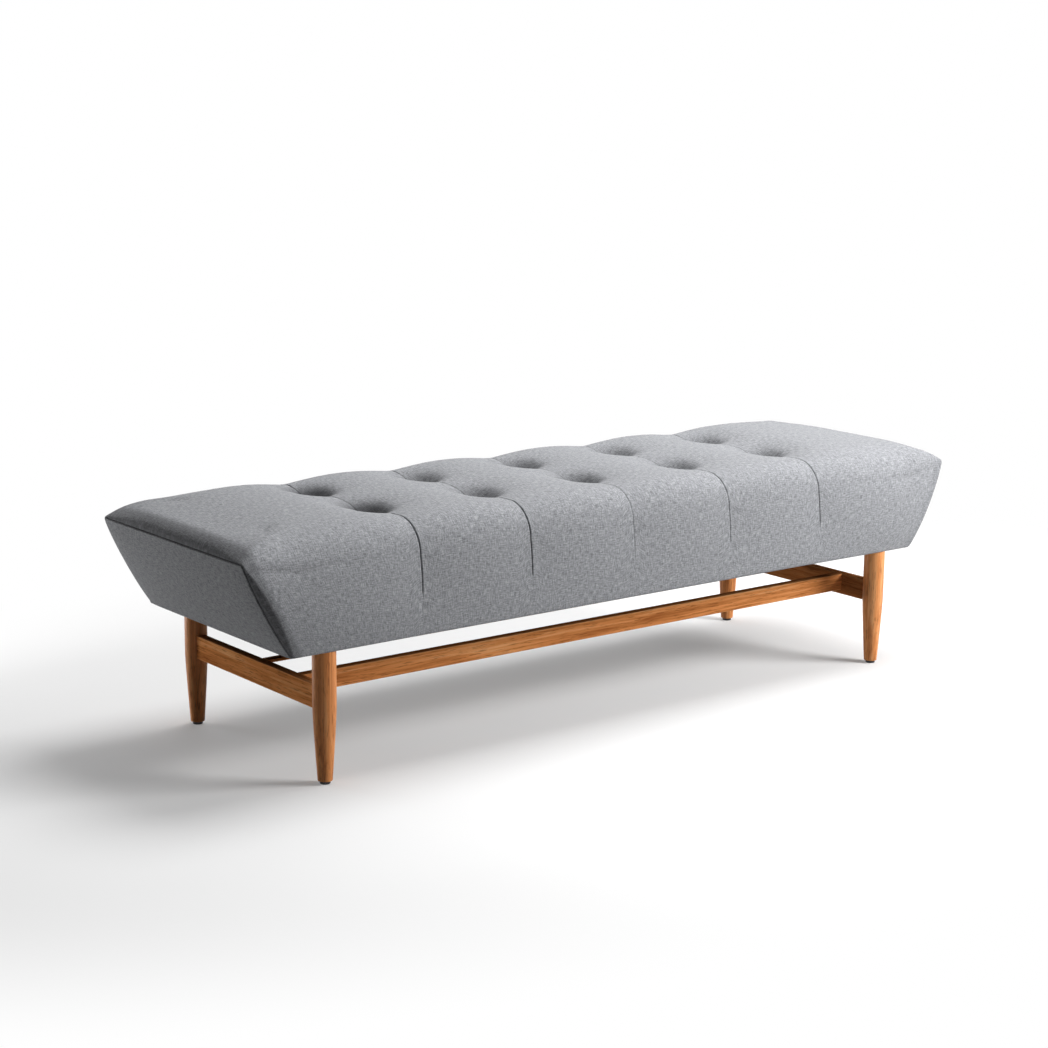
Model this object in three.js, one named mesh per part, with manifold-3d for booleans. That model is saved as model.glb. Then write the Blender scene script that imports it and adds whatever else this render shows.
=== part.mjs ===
// Upholstered bench: a channelled, tufted seat with sloping ends on a turned wooden base
import * as THREE from "three";
import { mergeVertices } from "three/addons/utils/BufferGeometryUtils.js";
import Module from "manifold-3d";

const wasm = await Module();
wasm.setup();

// Axes: X along the bench, Y from front to back, Z up from the floor. All lengths are millimetres.

// Overall seat
const seatTopLength = 1600;
const seatBottomLength = 1424;
const seatDepth = 459;
const seatUnderside = 228;
const endSeamRise = 164;
const crownRise = 201;

// Seat cover: edges, crown and the drawn-in ends
const frontEdgeRadius = 57;
const seamCornerRadius = 10;
const edgeBlendLength = 130;
const endRollLength = 35;
const endRollRise = 24;
const crownRunLength = 260;
const crossCrownDrop = 3;
const sideRollLength = 30;
const seamTopDrawIn = 3.7;
const seamMiddleDrawIn = 5;

// Sewn channels across the seat and the tufts on them
const channelCount = 5;
const channelPitch = 230;
const channelTopDepth = 8;
const channelSideDepth = 2.5;
const channelEndRise = 62;
const channelFadeRise = 60;
const pillowPower = 0.8;
const tuftRowOffset = 88;
const tuftDepth = 23;
const tuftSpread = 37;
const tuftPinchDepth = 8;
const tuftPinchSpread = 12;

// Places where the cover's surface is sampled
const nearTuftStep = 16;
const farTuftStep = 44;
const nearChannelStep = 16;
const farChannelStep = 50;
const endSteps = [0, 4, 14, 35, 110];
const sideHeightShares = [0, 0.44, 1];
const cornerTurnShares = [1 / 3, 2 / 3];

// Padding and clearances
const fitGap = 0.3;
const sidePadding = 12;
const endPadding = 12;
const foamHeight = 71;
const hollowCornerRadius = 0.6;
const seamLand = 1;
const panelBulge = 6.5;
const panelRingShares = [0.9, 0.72, 0.48, 0.24];
const cutOverrun = 5;
const weldDistance = 0.001;

// Seat frame
const frameRailThickness = 30;
const frameRailHeight = 60;
const endBoardThickness = 15;
const endBoardTopGap = 3;
const braceWidth = 40;
const braceHeight = 45;
const cornerBlockLeg = 70;
const deckThickness = 12;
const dustCoverThickness = 1;
const dustCoverMargin = 3;
const plateClearance = 2;

// Legs and their fixings
const legInsetX = 73.6;
const legInsetY = 21.5;
const legRadius = 20;
const legFootRadius = 12.5;
const taperTop = 124;
const taperRows = 6;
const glideRadius = 9;
const glideHeight = 5;
const glideChamfer = 1;
const glideNailRadius = 2;
const glideNailLength = 14;
const boltRadius = 4;
const boltInLeg = 35;
const boltInFrame = 42;
const plateThickness = 2.5;
const plateLength = 56;
const plateWidth = 38;

// Stretchers, front rail and centre slat
const stretcherThickness = 18;
const stretcherBottom = 124;
const stretcherHeight = 42;
const stretcherTenonThickness = 9;
const stretcherTenonHeight = 28;
const stretcherTenonDepth = 13;
const railThickness = 18;
const railHeight = 33;
const railBehindLeg = 86;
const railTenonThickness = 8;
const railTenonHeight = 21;
const railTenonDepth = 11;
const slatWidth = 18;
const slatThickness = 7.5;
const slatSetForward = 10;
const slatTenonWidth = 12;
const slatTenonThickness = 4;
const slatTenonDepth = 9;
const edgeChamfer = 1.5;

// Tuft ties
const twineRadius = 1.5;
const topKnotRadius = 4;
const topKnotLift = 4.9;
const lowerKnotRadius = 3;
const washerRadius = 9;
const washerThickness = 1.6;

// Facets round a circle
const legSides = 24;
const glideSides = 16;
const boltSides = 12;
const twineSides = 8;
const washerSides = 12;
const knotSteps = 4;

// Heights and slopes that follow
const endSeamHeight = seatUnderside + endSeamRise;
const endSlope = (seatTopLength - seatBottomLength) / 2 / endSeamRise;
const slopeCosine = 1 / Math.hypot(1, endSlope);
const halfDepth = seatDepth / 2;
const halfTop = seatTopLength / 2;
const lastChannel = ((channelCount - 1) / 2) * channelPitch;
const frameBottom = seatUnderside + plateThickness + 2 * fitGap;
const frameTop = frameBottom + frameRailHeight;
const deckBottom = frameTop + fitGap;
const deckTop = deckBottom + deckThickness;
const foamBottom = deckTop + fitGap;
const foamTop = foamBottom + foamHeight;
const hollowTop = foamTop + fitGap;
const hollowHalfDepth = halfDepth - sidePadding;
const frameHalfDepth = hollowHalfDepth - fitGap;
const stretcherTop = stretcherBottom + stretcherHeight;
const legBottom = glideHeight + fitGap;
const legX = seatBottomLength / 2 - legInsetX;
const legY = halfDepth - legInsetY;
const railSetForward = legY - railBehindLeg;

const clamp = (value, low, high) => Math.min(high, Math.max(low, value));
const quarterSine = (share) => Math.sin((clamp(share, 0, 1) * Math.PI) / 2);
const quarterRound = (share) => Math.sqrt(1 - (1 - clamp(share, 0, 1)) ** 2);

// Materials
const paint = (color, roughness, metalness = 0) =>
  new THREE.MeshStandardMaterial({ color, roughness, metalness });
const fabric = paint(0x9a9ca0, 0.95);
const darkCloth = paint(0x1c1c1e, 1);
const walnut = paint(0x9c5f38, 0.45);
const frameTimber = paint(0xcdb489, 0.8);
const foam = paint(0xe6dcae, 0.95);
const steel = paint(0x9ea1a5, 0.4, 1);
const twineFinish = paint(0x3c3c40, 0.9);
const glideFinish = paint(0x18181a, 0.5);

// Mesh and solid helpers
function solidFrom(geometry) {
  const bare = geometry.clone();
  bare.deleteAttribute("normal");
  bare.deleteAttribute("uv");
  const merged = mergeVertices(bare, weldDistance);
  const vertProperties = Float32Array.from(merged.attributes.position.array);
  const triVerts = Uint32Array.from(merged.index.array);
  return new wasm.Manifold(new wasm.Mesh({ numProp: 3, vertProperties, triVerts }));
}

function geometryFrom(solid) {
  const mesh = solid.getMesh();
  const geometry = new THREE.BufferGeometry();
  geometry.setAttribute("position", new THREE.BufferAttribute(mesh.vertProperties, 3));
  geometry.setIndex(new THREE.BufferAttribute(mesh.triVerts, 1));
  geometry.computeVertexNormals();
  return geometry;
}

function cut(geometry, ...tools) {
  const solid = tools.reduce((left, tool) => left.subtract(solidFrom(tool)), solidFrom(geometry));
  return geometryFrom(solid);
}

function join(geometry, ...others) {
  const solid = others.reduce((sum, other) => sum.add(solidFrom(other)), solidFrom(geometry));
  return geometryFrom(solid);
}

const bench = new THREE.Group();

function place(name, geometry, material) {
  const mesh = new THREE.Mesh(geometry, material);
  mesh.name = name;
  bench.add(mesh);
  return mesh;
}

// A box between two corners
function box(low, high) {
  const size = high.map((value, axis) => value - low[axis]);
  const middle = high.map((value, axis) => (value + low[axis]) / 2);
  return new THREE.BoxGeometry(...size).translate(...middle);
}

// An outline in X and Z run along Y, or in X and Y run along Z, or in Y and Z run along X
function runAlongY(outline, from, to) {
  const shape = new THREE.Shape(outline.map(([x, z]) => new THREE.Vector2(x, z)));
  const run = new THREE.ExtrudeGeometry(shape, { depth: to - from, bevelEnabled: false });
  return run.rotateX(Math.PI / 2).translate(0, to, 0);
}

function runAlongZ(outline, from, to) {
  const shape = new THREE.Shape(outline.map(([x, y]) => new THREE.Vector2(x, y)));
  const run = new THREE.ExtrudeGeometry(shape, { depth: to - from, bevelEnabled: false });
  return run.translate(0, 0, from);
}

function runAlongX(outline, from, to) {
  const shape = new THREE.Shape(outline.map(([y, z]) => new THREE.Vector2(y, z)));
  const run = new THREE.ExtrudeGeometry(shape, { depth: to - from, bevelEnabled: false });
  return run.rotateX(Math.PI / 2).rotateZ(Math.PI / 2).translate(from, 0, 0);
}

function chamferedOutline(width, height) {
  const c = edgeChamfer;
  const w = width / 2;
  const h = height / 2;
  return [
    [-w, -h + c], [-w + c, -h], [w - c, -h], [w, -h + c],
    [w, h - c], [w - c, h], [-w + c, h], [-w, h - c],
  ];
}

const shifted = (outline, across, up) => outline.map(([a, b]) => [a + across, b + up]);

// Upright turned pieces, given as radius and height pairs
function turned(profile, sides) {
  const points = profile.map(([radius, height]) => new THREE.Vector2(radius, height));
  return new THREE.LatheGeometry(points, sides).rotateX(Math.PI / 2);
}

function uprightRod(radius, from, to, sides) {
  const rod = new THREE.CylinderGeometry(radius, radius, to - from, sides).rotateX(Math.PI / 2);
  return rod.translate(0, 0, (from + to) / 2);
}

// A closed skin over rings that hold the same number of points, capped at both ends
function loft(rings) {
  const count = rings[0].length;
  const positions = rings.flat(2);
  const index = [];
  for (let ring = 0; ring < rings.length - 1; ring += 1) {
    for (let k = 0; k < count; k += 1) {
      const next = (k + 1) % count;
      const a = ring * count + k;
      const b = ring * count + next;
      index.push(a, b, b + count, a, b + count, a + count);
    }
  }
  const flat = rings[0].map(([, y, z]) => new THREE.Vector2(y, z));
  const lastStart = (rings.length - 1) * count;
  const flatLast = rings.at(-1).map(([, y, z]) => new THREE.Vector2(y, z));
  for (const [a, b, c] of THREE.ShapeUtils.triangulateShape(flat, [])) {
    index.push(a, c, b);
  }
  for (const [a, b, c] of THREE.ShapeUtils.triangulateShape(flatLast, [])) {
    index.push(lastStart + a, lastStart + b, lastStart + c);
  }
  const geometry = new THREE.BufferGeometry();
  geometry.setAttribute("position", new THREE.Float32BufferAttribute(positions, 3));
  geometry.setIndex(index);
  return geometry;
}

// Seat cover surface
const channelPlaces = Array.from({ length: channelCount }, (_, k) => k * channelPitch - lastChannel);

function pillow(x) {
  const nearest = Math.min(...channelPlaces.map((place) => Math.abs(x - place)));
  return quarterSine(nearest / (channelPitch / 2)) ** pillowPower;
}

function tuftDrop(x, y) {
  const bell = (distance, spread) => Math.exp(-(distance ** 2) / (2 * spread ** 2));
  let drop = 0;
  for (const place of channelPlaces) {
    for (const row of [-tuftRowOffset, tuftRowOffset]) {
      const distance = Math.hypot(x - place, y - row);
      drop += tuftDepth * bell(distance, tuftSpread);
      drop += tuftPinchDepth * bell(distance, tuftPinchSpread);
    }
  }
  return drop;
}

function topHeight(x, y) {
  const fromEnd = halfTop - Math.abs(x);
  const roll = endRollRise * quarterRound(fromEnd / endRollLength);
  const crown = (crownRise - endSeamRise - endRollRise) * quarterSine(fromEnd / crownRunLength);
  const flatShare = quarterSine(fromEnd / crownRunLength);
  const crossDrop = crossCrownDrop * flatShare * (y / halfDepth) ** 2;
  const channelDrop = channelTopDepth * (1 - pillow(x));
  return endSeamHeight + roll + crown - crossDrop - channelDrop - tuftDrop(x, y);
}

function sideDepth(x, z) {
  const fromEnd = halfTop - Math.abs(x);
  const riseShare = clamp((z - seatUnderside) / endSeamRise, 0, 1);
  const drawIn = seamTopDrawIn * riseShare + seamMiddleDrawIn * Math.sin(Math.PI * riseShare);
  const fade = clamp((z - seatUnderside - channelEndRise) / channelFadeRise, 0, 1);
  const channelDrop = channelSideDepth * (1 - pillow(x)) * fade;
  return halfDepth - drawIn * (1 - quarterRound(fromEnd / sideRollLength)) - channelDrop;
}

function edgeRadius(x) {
  const blend = quarterSine((halfTop - Math.abs(x)) / edgeBlendLength);
  return seamCornerRadius + (frontEdgeRadius - seamCornerRadius) * blend;
}

// One section: depth and height pairs from the back's lower edge over the top to the front's
function sectionPoints(radius, depthAt, heightAt) {
  const cornerDepth = depthAt(endSeamHeight) - radius;
  const cornerHeight = heightAt(cornerDepth) - radius;
  const half = sideHeightShares.map((share) => {
    const z = seatUnderside + share * (cornerHeight - seatUnderside);
    return [share < 1 ? depthAt(z) : cornerDepth + radius, z];
  });
  for (const share of cornerTurnShares) {
    const turn = (share * Math.PI) / 2;
    half.push([cornerDepth + radius * Math.cos(turn), cornerHeight + radius * Math.sin(turn)]);
  }
  half.push([cornerDepth, cornerHeight + radius]);
  for (const step of [farTuftStep, nearTuftStep, 0, -nearTuftStep, -farTuftStep]) {
    const y = tuftRowOffset + step;
    half.push([y, heightAt(y)]);
  }
  const front = half.map(([y, z]) => [-y, z]).reverse();
  return [...half, [0, heightAt(0)], ...front];
}

const endPlane = (z, inset) => halfTop - endSlope * (endSeamHeight - z) - inset / slopeCosine;

function coverRing(x) {
  const leanShare = clamp((Math.abs(x) - lastChannel) / (halfTop - lastChannel), 0, 1);
  const points = sectionPoints(edgeRadius(x), (z) => sideDepth(x, z), (y) => topHeight(x, y));
  return points.map(([y, z]) => {
    const lean = leanShare * endSlope * Math.max(0, endSeamHeight - z);
    return [x - Math.sign(x) * lean, y, z];
  });
}

function stationPlaces() {
  const places = new Set();
  for (const place of channelPlaces) {
    for (const step of [0, nearChannelStep, farChannelStep, channelPitch / 2]) {
      places.add(place - step);
      places.add(place + step);
    }
  }
  for (const step of endSteps) {
    places.add(halfTop - step);
    places.add(step - halfTop);
  }
  return [...places].sort((a, b) => a - b);
}

// Rings across the sloping end of the seat: at the seam, and where the padding ends inside it
const onEndPlane = (points, side, inset) =>
  points.map(([y, z]) => [side * endPlane(z, inset), y, z]);

function endSection(shrink) {
  const depthAt = (z) => sideDepth(halfTop, z) - shrink;
  return sectionPoints(seamCornerRadius, depthAt, () => endSeamHeight - shrink);
}

function hollowSection(shrink) {
  return sectionPoints(hollowCornerRadius, () => hollowHalfDepth - shrink, () => hollowTop - shrink);
}

function openBelow(points) {
  const [backY, backZ] = points[0];
  const [frontY, frontZ] = points.at(-1);
  return [[backY, backZ - cutOverrun], ...points, [frontY, frontZ - cutOverrun]];
}

function coverHollow() {
  const seam = openBelow(endSection(seamLand));
  const hollow = openBelow(hollowSection(0));
  return loft([
    onEndPlane(seam, -1, -cutOverrun),
    onEndPlane(seam, -1, 0),
    onEndPlane(hollow, -1, endPadding),
    onEndPlane(hollow, 1, endPadding),
    onEndPlane(seam, 1, 0),
    onEndPlane(seam, 1, -cutOverrun),
  ]);
}

const tufts = channelPlaces.flatMap((x, k) => [
  { x, y: -tuftRowOffset, name: `front_${k + 1}` },
  { x, y: tuftRowOffset, name: `back_${k + 1}` },
]);

const tieHole = ({ x, y }) => {
  const reach = crownRise + seatUnderside;
  return uprightRod(twineRadius + fitGap, 0, reach, twineSides).translate(x, y, 0);
};

function addCover() {
  const skin = loft(stationPlaces().map(coverRing));
  place("seat_cover", cut(skin, coverHollow(), ...tufts.map(tieHole)), fabric);
}

// End panels, each a thin pad with mitred edges and a rounded outer face
function addEndPanel(side, name) {
  const edge = onEndPlane(endSection(seamLand + fitGap), side, 0);
  const inner = onEndPlane(hollowSection(fitGap), side, endPadding);
  const middleZ = (seatUnderside + endSeamHeight) / 2;
  const domes = panelRingShares.map((share) => edge.map(([, y, z]) => {
    const height = middleZ + (z - middleZ) * share;
    const bulge = panelBulge * (1 - share ** 2);
    return [side * endPlane(height, -bulge), y * share, height];
  }));
  const rings = [inner, edge, ...domes];
  place(name, loft(side > 0 ? rings : rings.reverse()), fabric);
}

// The outline in X and Z of anything that lies between the two sloping end boards
function betweenEnds(bottom, top, inset) {
  return [
    [-endPlane(bottom, inset), bottom], [endPlane(bottom, inset), bottom],
    [endPlane(top, inset), top], [-endPlane(top, inset), top],
  ];
}

const boardOuter = endPadding + fitGap;
const boardInner = boardOuter + endBoardThickness;
const insideBoards = boardInner + fitGap;

function addEndBoard(side, name) {
  const bottom = frameBottom;
  const top = foamTop - endBoardTopGap;
  const outline = [
    [side * endPlane(bottom, boardOuter), bottom], [side * endPlane(bottom, boardInner), bottom],
    [side * endPlane(top, boardInner), top], [side * endPlane(top, boardOuter), top],
  ];
  place(name, runAlongY(outline, -frameHalfDepth, frameHalfDepth), frameTimber);
}

const corners = [
  { name: "front_left", sx: -1, sy: -1 },
  { name: "front_right", sx: 1, sy: -1 },
  { name: "back_left", sx: -1, sy: 1 },
  { name: "back_right", sx: 1, sy: 1 },
];

const boltHole = ({ sx, sy }) => {
  const from = seatUnderside - boltInLeg - fitGap;
  const to = seatUnderside + boltInFrame + fitGap;
  return uprightRod(boltRadius + fitGap, from, to, boltSides).translate(sx * legX, sy * legY, 0);
};

function addFrameRail(sy, name) {
  const outer = sy * frameHalfDepth;
  const inner = sy * (frameHalfDepth - frameRailThickness);
  const outline = betweenEnds(frameBottom, frameTop, insideBoards);
  const rail = runAlongY(outline, Math.min(outer, inner), Math.max(outer, inner));
  place(name, cut(rail, ...corners.filter((corner) => corner.sy === sy).map(boltHole)), frameTimber);
}

const railInner = frameHalfDepth - frameRailThickness - fitGap;

function addCornerBlock({ name, sx, sy }) {
  const outer = endPlane(frameTop, insideBoards);
  const innerX = endPlane(frameBottom, insideBoards) - cornerBlockLeg;
  const rawOutline = [[innerX, railInner], [outer, railInner], [outer, railInner - cornerBlockLeg]];
  const outline = rawOutline.map(([x, y]) => [sx * x, sy * y]);
  const wedge = runAlongZ(outline, frameBottom, frameTop);
  const between = runAlongY(betweenEnds(frameBottom, frameTop, insideBoards), -railInner, railInner);
  const block = solidFrom(wedge).intersect(solidFrom(between));
  place(`corner_block_${name}`, geometryFrom(block), frameTimber);
}

function addBraces() {
  const places = channelPlaces.slice(1).map((place) => place - channelPitch / 2);
  places.forEach((x, k) => {
    const low = [x - braceWidth / 2, -railInner, frameTop - braceHeight];
    const high = [x + braceWidth / 2, railInner, frameTop];
    place(`cross_brace_${k + 1}`, box(low, high), frameTimber);
  });
}

function addDeckAndFoam() {
  const deck = runAlongY(betweenEnds(deckBottom, deckTop, insideBoards), -frameHalfDepth, frameHalfDepth);
  place("deck_board", cut(deck, ...tufts.map(tieHole)), frameTimber);
  const core = runAlongY(betweenEnds(foamBottom, foamTop, insideBoards), -frameHalfDepth, frameHalfDepth);
  place("foam_core", cut(core, ...tufts.map(tieHole)), foam);
}

// The plate lies flush with the outer face of the frame rail, and the leg's bolt passes through it
const plateOuterY = frameHalfDepth;
const plateInnerY = frameHalfDepth - plateWidth;

function plateBox({ sx, sy }, bottom, top, grow) {
  const ys = [sy * (plateOuterY + grow), sy * (plateInnerY - grow)].sort((a, b) => a - b);
  const low = [sx * legX - plateLength / 2 - grow, ys[0], bottom];
  const high = [sx * legX + plateLength / 2 + grow, ys[1], top];
  return box(low, high);
}

function addDustCover() {
  const top = frameBottom - fitGap;
  const bottom = top - dustCoverThickness;
  const reach = frameHalfDepth - dustCoverMargin;
  const outline = betweenEnds(bottom, top, endPadding + dustCoverMargin);
  const sheet = runAlongY(outline, -reach, reach);
  const notches = corners.map((corner) =>
    plateBox(corner, bottom - cutOverrun, top + cutOverrun, plateClearance));
  place("dust_cover", cut(sheet, ...notches), darkCloth);
}

// Legs, turned straight down to the stretcher and then tapered to the foot
function legGeometry() {
  const profile = [[0, legBottom]];
  for (let row = 0; row <= taperRows; row += 1) {
    const share = row / taperRows;
    const radius = legFootRadius + (legRadius - legFootRadius) * quarterSine(share);
    profile.push([radius, legBottom + share * (taperTop - legBottom)]);
  }
  profile.push([legRadius, seatUnderside], [0, seatUnderside]);
  return turned(profile, legSides);
}

const stretcherMiddle = stretcherBottom + stretcherHeight / 2;
const tenonReach = legY - legRadius + stretcherTenonDepth;

function stretcherTenon(sx, grow) {
  const half = stretcherTenonThickness / 2 + grow;
  const low = [sx * legX - half, -tenonReach - grow, stretcherMiddle - stretcherTenonHeight / 2 - grow];
  const high = [sx * legX + half, tenonReach + grow, stretcherMiddle + stretcherTenonHeight / 2 + grow];
  return box(low, high);
}

function addLeg(corner) {
  const x = corner.sx * legX;
  const y = corner.sy * legY;
  const nailHole = uprightRod(
    glideNailRadius + fitGap, legBottom - cutOverrun, legBottom + glideNailLength + fitGap, twineSides,
  ).translate(x, y, 0);
  const leg = legGeometry().translate(x, y, 0);
  const cuts = [boltHole(corner), nailHole, stretcherTenon(corner.sx, fitGap)];
  place(`leg_${corner.name}`, cut(leg, ...cuts), walnut);
}

function addGlide({ name, sx, sy }) {
  const profile = [
    [0, 0], [glideRadius - glideChamfer, 0], [glideRadius, glideChamfer],
    [glideRadius, glideHeight], [glideNailRadius, glideHeight],
    [glideNailRadius, legBottom + glideNailLength], [0, legBottom + glideNailLength],
  ];
  place(`foot_glide_${name}`, turned(profile, glideSides).translate(sx * legX, sy * legY, 0), glideFinish);
}

function addLegFixings(corner) {
  const { name, sx, sy } = corner;
  const plateBottom = seatUnderside + fitGap;
  const plate = plateBox(corner, plateBottom, plateBottom + plateThickness, 0);
  place(`leg_plate_${name}`, cut(plate, boltHole(corner)), steel);
  const bolt = uprightRod(boltRadius, seatUnderside - boltInLeg, seatUnderside + boltInFrame, boltSides);
  place(`hanger_bolt_${name}`, bolt.translate(sx * legX, sy * legY, 0), steel);
}

// Front rail and centre slat, tenoned into the end stretchers
const stretcherInner = legX - stretcherThickness / 2;
const stretcherJointReach = (depth) => stretcherInner + depth;
const railMiddle = stretcherTop - railHeight / 2;
const slatMiddle = stretcherTop - slatThickness / 2;

function crossTenon(setForward, middle, width, height, depth, grow) {
  const reach = stretcherJointReach(depth) + grow;
  const low = [-reach, -setForward - width / 2 - grow, middle - height / 2 - grow];
  const high = [reach, -setForward + width / 2 + grow, middle + height / 2 + grow];
  return box(low, high);
}

const railTenon = (grow) => crossTenon(
  railSetForward, railMiddle, railTenonThickness, railTenonHeight, railTenonDepth, grow,
);
const slatTenon = (grow) => crossTenon(
  slatSetForward, slatMiddle, slatTenonWidth, slatTenonThickness, slatTenonDepth, grow,
);

function addStretcher(sx, name) {
  const outline = shifted(chamferedOutline(stretcherThickness, stretcherHeight), sx * legX, stretcherMiddle);
  const bar = runAlongY(outline, -legY, legY);
  const scribes = [-1, 1].map((sy) => uprightRod(
    legRadius + fitGap, stretcherBottom - cutOverrun, stretcherTop + cutOverrun, legSides,
  ).translate(sx * legX, sy * legY, 0));
  const scribed = cut(bar, ...scribes);
  const jointed = cut(join(scribed, stretcherTenon(sx, 0)), railTenon(fitGap), slatTenon(fitGap));
  place(name, jointed, walnut);
}

function addFrontRail() {
  const outline = shifted(chamferedOutline(railThickness, railHeight), -railSetForward, railMiddle);
  const reach = stretcherInner - fitGap;
  place("front_rail", join(runAlongX(outline, -reach, reach), railTenon(0)), walnut);
}

function addCentreSlat() {
  const outline = shifted(chamferedOutline(slatWidth, slatThickness), -slatSetForward, slatMiddle);
  const reach = stretcherInner - fitGap;
  place("centre_slat", join(runAlongX(outline, -reach, reach), slatTenon(0)), walnut);
}

// Tuft ties, each a twine from a knot in the tuft down to a knot under a washer
const washerTop = deckBottom - fitGap;
const washerBottom = washerTop - washerThickness;

function knot(centre, radius, firstTurn, lastTurn) {
  return Array.from({ length: knotSteps + 1 }, (_, k) => {
    const turn = firstTurn + ((lastTurn - firstTurn) * k) / knotSteps;
    return [radius * Math.sin(turn), centre - radius * Math.cos(turn)];
  });
}

function addTie({ x, y, name }) {
  const lowerCentre = washerBottom - fitGap - lowerKnotRadius;
  const topCentre = topHeight(x, y) + topKnotLift;
  const lowerNeck = Math.asin(twineRadius / lowerKnotRadius);
  const topNeck = Math.asin(twineRadius / topKnotRadius);
  const profile = [
    ...knot(lowerCentre, lowerKnotRadius, 0, Math.PI - lowerNeck),
    ...knot(topCentre, topKnotRadius, topNeck, Math.PI),
  ];
  profile[0][0] = 0;
  profile[profile.length - 1][0] = 0;
  place(`tuft_tie_${name}`, turned(profile, twineSides).translate(x, y, 0), twineFinish);
}

function addWasher(tuft) {
  const disc = uprightRod(washerRadius, washerBottom, washerTop, washerSides).translate(tuft.x, tuft.y, 0);
  place(`tie_washer_${tuft.name}`, cut(disc, tieHole(tuft)), steel);
}

addCover();
addEndPanel(-1, "end_panel_left");
addEndPanel(1, "end_panel_right");
addEndBoard(-1, "end_board_left");
addEndBoard(1, "end_board_right");
addFrameRail(-1, "frame_rail_front");
addFrameRail(1, "frame_rail_back");
corners.forEach(addCornerBlock);
addBraces();
addDeckAndFoam();
addDustCover();
corners.forEach(addLeg);
corners.forEach(addGlide);
corners.forEach(addLegFixings);
addStretcher(-1, "end_stretcher_left");
addStretcher(1, "end_stretcher_right");
addFrontRail();
addCentreSlat();
tufts.forEach(addTie);
tufts.forEach(addWasher);

export default bench;
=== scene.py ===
"""Upholstered bench: a channelled, tufted seat with sloping ends on a turned walnut base."""

import math
from types import SimpleNamespace

import bmesh
import bpy
import numpy as np
from mathutils import Matrix, Vector


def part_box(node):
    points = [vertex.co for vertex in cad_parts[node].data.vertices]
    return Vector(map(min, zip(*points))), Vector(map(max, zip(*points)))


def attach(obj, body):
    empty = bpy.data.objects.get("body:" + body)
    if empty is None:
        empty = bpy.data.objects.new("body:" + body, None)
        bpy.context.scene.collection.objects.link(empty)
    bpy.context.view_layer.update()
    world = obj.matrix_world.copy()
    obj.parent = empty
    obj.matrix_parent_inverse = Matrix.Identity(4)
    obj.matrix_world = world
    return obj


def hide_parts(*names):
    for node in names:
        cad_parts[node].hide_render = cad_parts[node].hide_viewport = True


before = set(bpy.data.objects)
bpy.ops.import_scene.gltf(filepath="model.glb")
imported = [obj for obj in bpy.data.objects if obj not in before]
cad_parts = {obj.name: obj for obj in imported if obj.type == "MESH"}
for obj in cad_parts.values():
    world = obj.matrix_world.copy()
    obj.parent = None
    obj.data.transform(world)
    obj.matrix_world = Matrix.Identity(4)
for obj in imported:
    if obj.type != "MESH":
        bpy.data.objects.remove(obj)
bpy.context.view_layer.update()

# All lengths are metres. X runs along the bench, Y from front to back, Z up from the floor.

# Camera
CAMERA_PLACE = (-2.5893, -3.2439, 1.1981)
CAMERA_YAW = math.radians(37.849)
CAMERA_PITCH = math.radians(11.943)
CAMERA_ROLL = math.radians(0.530)
CAMERA_LENS = 78.80
CAMERA_SENSOR = 36
CAMERA_REACH = 200

# Lamps: each one's place, aim, size and power
LAMPS = {
    "key": ((1.95, -1.95, 1.5), (0.2, 0, 0.3), 1.4, 110),
    "overhead": ((1.1, 0.1, 3.2), (0.3, 0, 0), 2.0, 98),
    "back": ((0.5, 1.2, 3.0), (0.3, 0, 0), 2.0, 26),
    "fill": ((-1.3, 1.4, 0.05), (-0.6, 0, 0.3), 0.8, 21),
}
WORLD_LEVEL = 0.003
WORLD_COLOUR = (0.97, 0.985, 1)

# Floor
FLOOR_HALF = 30
FLOOR_SEEN = 0.65
FLOOR_BOUNCE = 0.38
FLOOR_LIFT = 0.22
FLOOR_MOTTLE = 0.01
FLOOR_FADE_START = 1.3
FLOOR_FADE_END = 2.1
FLOOR_FADE_DEPTH = 1.7

# Overall seat, from the frame
cover_low, cover_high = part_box("seat_cover")
HALF_TOP = cover_high.x
HALF_DEPTH = cover_high.y
UNDERSIDE = cover_low.z
SEAT_BOTTOM_LENGTH = 1.424
END_SEAM_RISE = 0.164
CROWN_RISE = 0.2015
END_SEAM = UNDERSIDE + END_SEAM_RISE
END_SLOPE = (HALF_TOP - SEAT_BOTTOM_LENGTH / 2) / END_SEAM_RISE
SLOPE_COSINE = 1 / math.hypot(1, END_SLOPE)

# Seat cover: edges, crown and the drawn-in ends
FRONT_EDGE_RADIUS = 0.057
BACK_EDGE_RADIUS = 0.047
SEAM_CORNER_RADIUS = 0.010
EDGE_BLEND_LENGTH = 0.110
END_ROLL_LENGTH = 0.036
END_ROLL_RISE = 0.0218
END_ROLL_POWER = 2.4
END_BOW = 0.0055
CORNER_PINCH = 0.85
CORNER_PINCH_LENGTH = 0.080
CORNER_PINCH_DEPTH = 0.150
CROWN_RUN_LENGTH = 0.225
CROSS_CROWN_DROP = 0.003
SIDE_ROLL_STEEPNESS = 1.15
SIDE_ROLL_POWER = 1.4
SIDE_BOW = 0.013
SIDE_BOW_BETWEEN = 0.35
SEAM_DRAW_IN = 0.002
BACK_FULLNESS = 0.018
BOW_POWER = 0.7
HEM_RADIUS = 0.006
HEM_LAND = 0.003
HEM_SAG = 0.0015
END_FOLD = 0.0015
ON_TOP_DROP = 0.02

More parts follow.
